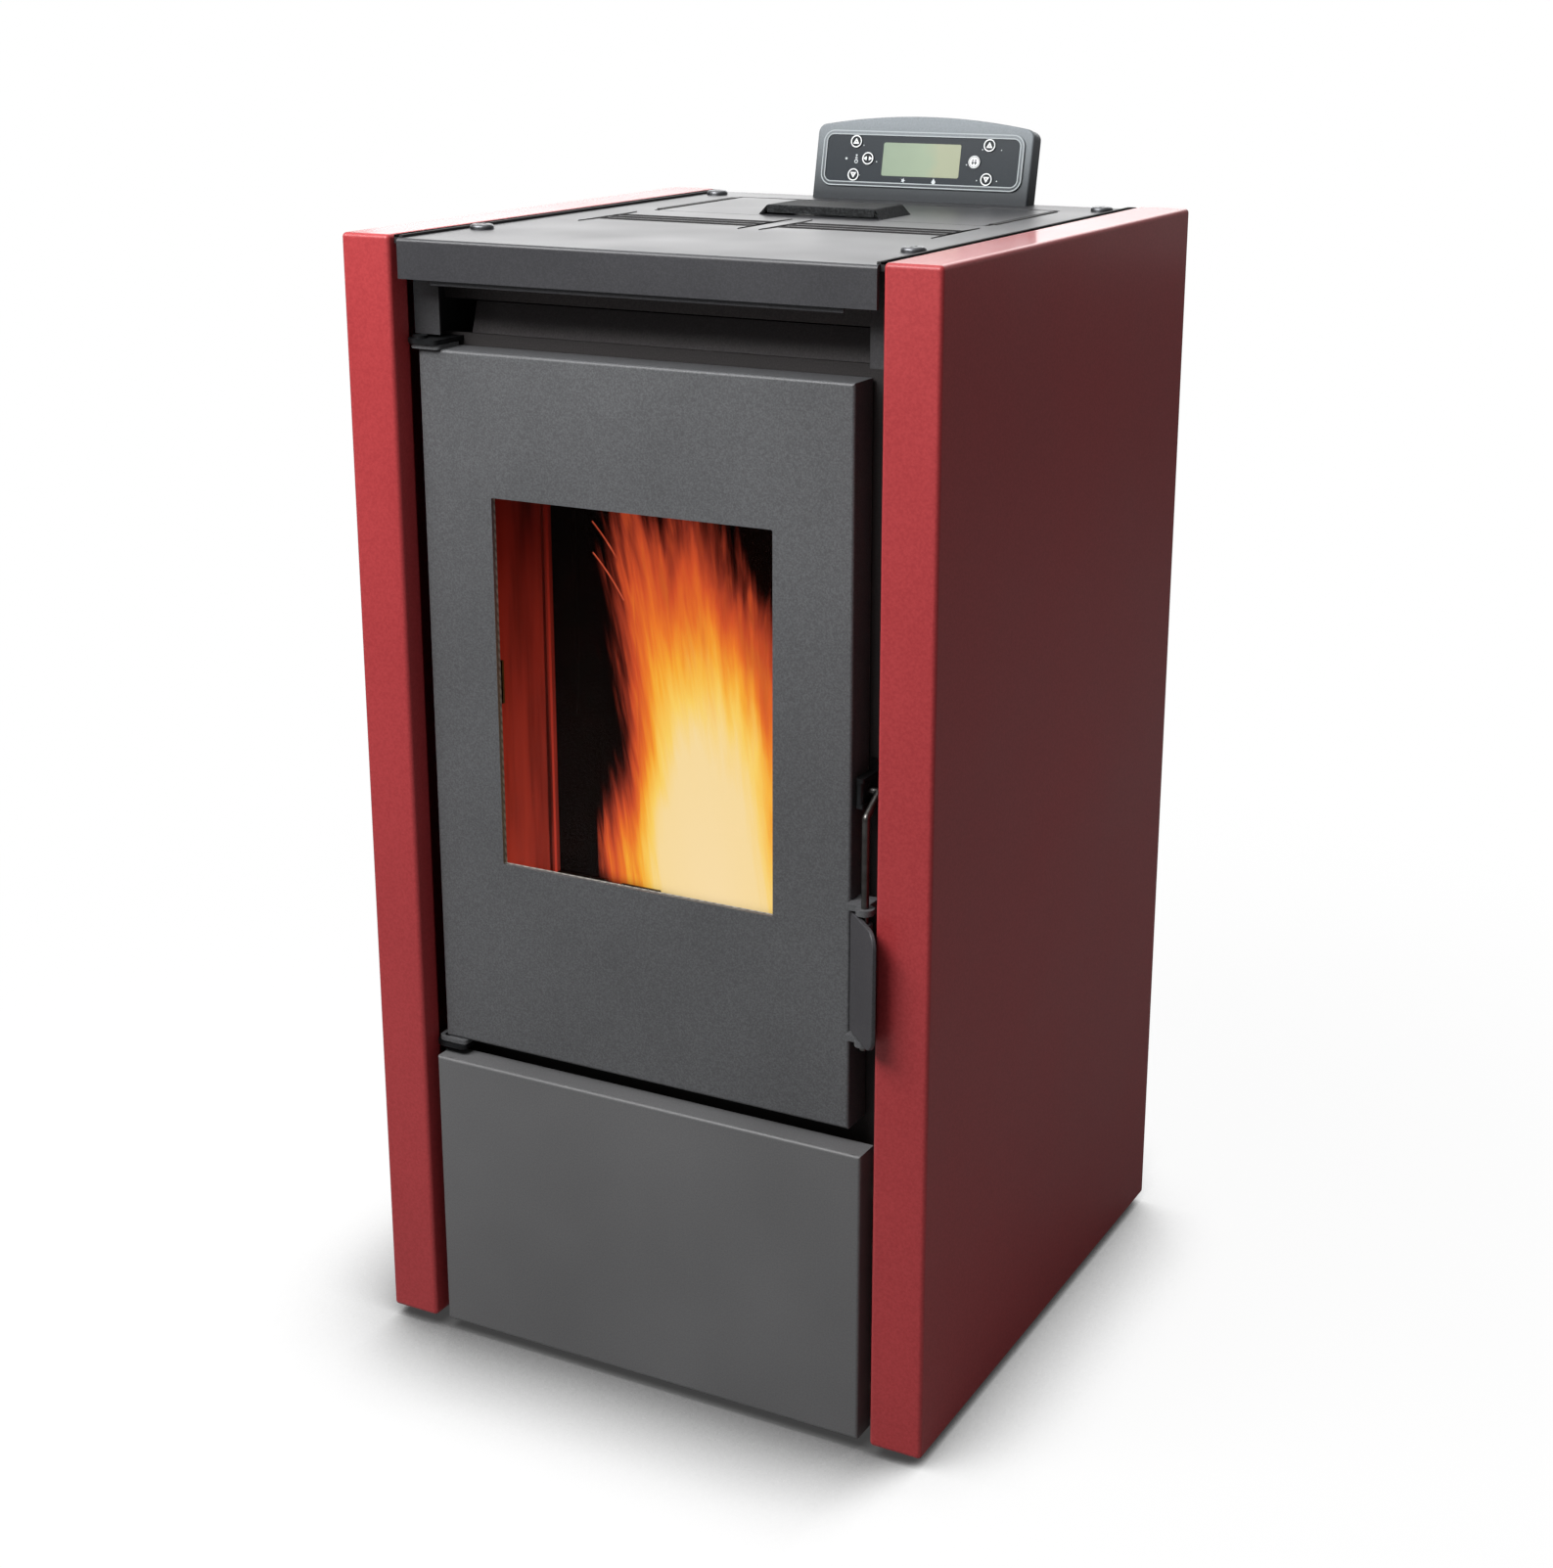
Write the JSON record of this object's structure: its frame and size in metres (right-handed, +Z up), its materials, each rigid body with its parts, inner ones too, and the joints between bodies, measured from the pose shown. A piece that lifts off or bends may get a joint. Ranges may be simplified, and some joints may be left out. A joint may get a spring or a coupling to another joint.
{
  "type": "pellet stove",
  "caption": "Compact freestanding pellet stove with red side panels, a black fire door with a tall window, a top hopper lid and a rear control panel.",
  "frame": {"origin": "middle of the outline seen from above, on the floor", "axes": "+Z up, -Y out of the front of the stove, +X to the right seen from the front"},
  "size_m": [0.43, 0.4898, 0.8523],
  "materials": {
    "red_enamel": "satin powder coat, dark red",
    "black_coat": "fine-texture heat-proof black",
    "grey_coat": "fine-texture dark grey",
    "handle_coat": "textured black",
    "hinge_steel": "dark zinc steel",
    "black_screws": "blackened steel",
    "zinc_sheet": "galvanised sheet",
    "stove_steel": "heat-proof black on thick sheet",
    "cast_iron": "sooted casting",
    "hot_lining": "heat-tinted steel plate",
    "pan_steel": "plain steel sheet",
    "bright_wire": "zinc-plated wire",
    "screw_steel": "turned steel",
    "motor_shell": "die-cast shell",
    "fan_wheel": "pressed sheet",
    "igniter": "ceramic rod and sleeve",
    "feet": "rubber pad on a zinc stud",
    "stove_glass": "clear ceramic glass",
    "glass_tape": "woven glass tape",
    "rope_seal": "braided glass rope",
    "panel_plastic": "fine-grain dark grey",
    "overlay_film": "dark printed film",
    "display": "green-grey screen",
    "keys": "dark key with a pale ring",
    "mains_plastic": "black plastic",
    "circuit_board": "green board with parts"
  },
  "bodies": {
    "stove_body": {"air_inlet_pipe": "stove_steel", "ash_pan": "pan_steel", "auger_gear_motor": "motor_shell", "auger_tube": "stove_steel", "base_plate": "grey_coat", "blower_housing": "zinc_sheet", "blower_motor": "motor_shell", "burn_pot_shelf": "stove_steel", "control_board": "circuit_board", "control_housing": "panel_plastic", "control_overlay": "overlay_film", "display_window": "display", "door_hinge_brackets": "hinge_steel", "firebox_back_lining": "cast_iron", "firebox_front_plate": "black_coat", "firebox_shell": "stove_steel", "firebox_side_linings": "hot_lining", "flue_outlet": "stove_steel", "hopper": "zinc_sheet", "hopper_grille": "bright_wire", "igniter": "igniter", "latch_striker": "hinge_steel", "left_chassis_side": "zinc_sheet", "left_side_panel": "red_enamel", "levelling_feet": "feet", "mains_inlet": "mains_plastic", "outlet_baffle": "black_coat", "panel_magnets": "hinge_steel", "rear_panel": "zinc_sheet", "rear_panel_screws": "black_screws", "right_chassis_side": "zinc_sheet", "right_side_panel": "red_enamel", "smoke_duct": "zinc_sheet", "smoke_fan_housing": "stove_steel", "smoke_fan_motor": "motor_shell", "top_cover": "black_coat", "top_cover_screws": "black_screws"},
    "fire_door": {"door_skin": "black_coat", "door_inner_frame": "zinc_sheet", "door_glass": "stove_glass", "glass_tape": "glass_tape", "glass_clips": "black_screws", "door_rope_seal": "rope_seal"},
    "door_latch": {"latch_handle": "handle_coat", "latch_rod": "hinge_steel"},
    "hopper_lid": {"hopper_lid": "black_coat", "lid_handle": "handle_coat"},
    "lower_front_panel": {"lower_panel": "grey_coat"},
    "burn_pot": {"burn_pot": "cast_iron"},
    "auger": {"auger_screw": "screw_steel"},
    "smoke_fan": {"smoke_fan_wheel": "fan_wheel"},
    "room_air_blower": {"blower_drum": "fan_wheel"},
    "mains_rocker": {"mains_rocker": "mains_plastic"},
    "key_left_up": {"key_left_up": "keys"},
    "key_left_down": {"key_left_down": "keys"},
    "key_mode": {"key_mode": "keys"},
    "key_right_up": {"key_right_up": "keys"},
    "key_right_down": {"key_right_down": "keys"},
    "key_power": {"key_power": "keys"}
  },
  "joints": [
    {"name": "fire_door_hinge", "type": "hinge", "parent": "stove_body", "child": "fire_door", "pos_m": [-0.168, -0.20995, 0.474], "axis": [0, 0, -1], "range_deg": [0, 100]},
    {"name": "latch_turn", "type": "hinge", "parent": "fire_door", "child": "door_latch", "pos_m": [0.166, -0.21995, 0.373], "axis": [0, 0, -1], "range_deg": [-18, 18]},
    {"name": "hopper_lid_hinge", "type": "hinge", "parent": "stove_body", "child": "hopper_lid", "pos_m": [0, 0.16005, 0.7898], "axis": [-1, 0, 0], "range_deg": [0, 85]},
    {"name": "lower_panel_pull", "type": "slide", "parent": "stove_body", "child": "lower_front_panel", "axis": [0, -1, 0], "range_m": [0, 0.12]},
    {"name": "burn_pot_lift", "type": "slide", "parent": "stove_body", "child": "burn_pot", "axis": [0, 0, 1], "range_m": [0, 0.06]},
    {"name": "auger_spin", "type": "hinge", "parent": "stove_body", "child": "auger", "pos_m": [0, 0.05405, 0.418], "axis": [0, -0.6585, 0.7526], "continuous": true},
    {"name": "smoke_fan_spin", "type": "hinge", "parent": "stove_body", "child": "smoke_fan", "pos_m": [0.082, 0.07205, 0.12], "axis": [1, 0, 0], "continuous": true},
    {"name": "blower_spin", "type": "hinge", "parent": "stove_body", "child": "room_air_blower", "pos_m": [-0.099, 0.07205, 0.12], "axis": [1, 0, 0], "continuous": true},
    {"name": "mains_rocker_tilt", "type": "hinge", "parent": "stove_body", "child": "mains_rocker", "pos_m": [0.139, 0.20155, 0.084], "axis": [-1, 0, 0], "range_deg": [0, 16]},
    {"name": "key_left_up_press", "type": "slide", "parent": "stove_body", "child": "key_left_up", "axis": [0, 0.9781, -0.2079], "range_m": [0, 0.0006], "stiffness_N_per_m": 600, "springref_m": -0.0006},
    {"name": "key_left_down_press", "type": "slide", "parent": "stove_body", "child": "key_left_down", "axis": [0, 0.9781, -0.2079], "range_m": [0, 0.0006], "stiffness_N_per_m": 600, "springref_m": -0.0006},
    {"name": "key_mode_press", "type": "slide", "parent": "stove_body", "child": "key_mode", "axis": [0, 0.9781, -0.2079], "range_m": [0, 0.0006], "stiffness_N_per_m": 600, "springref_m": -0.0006},
    {"name": "key_right_up_press", "type": "slide", "parent": "stove_body", "child": "key_right_up", "axis": [0, 0.9781, -0.2079], "range_m": [0, 0.0006], "stiffness_N_per_m": 600, "springref_m": -0.0006},
    {"name": "key_right_down_press", "type": "slide", "parent": "stove_body", "child": "key_right_down", "axis": [0, 0.9781, -0.2079], "range_m": [0, 0.0006], "stiffness_N_per_m": 600, "springref_m": -0.0006},
    {"name": "key_power_press", "type": "slide", "parent": "stove_body", "child": "key_power", "axis": [0, 0.9781, -0.2079], "range_m": [0, 0.0006], "stiffness_N_per_m": 600, "springref_m": -0.0006}
  ]
}
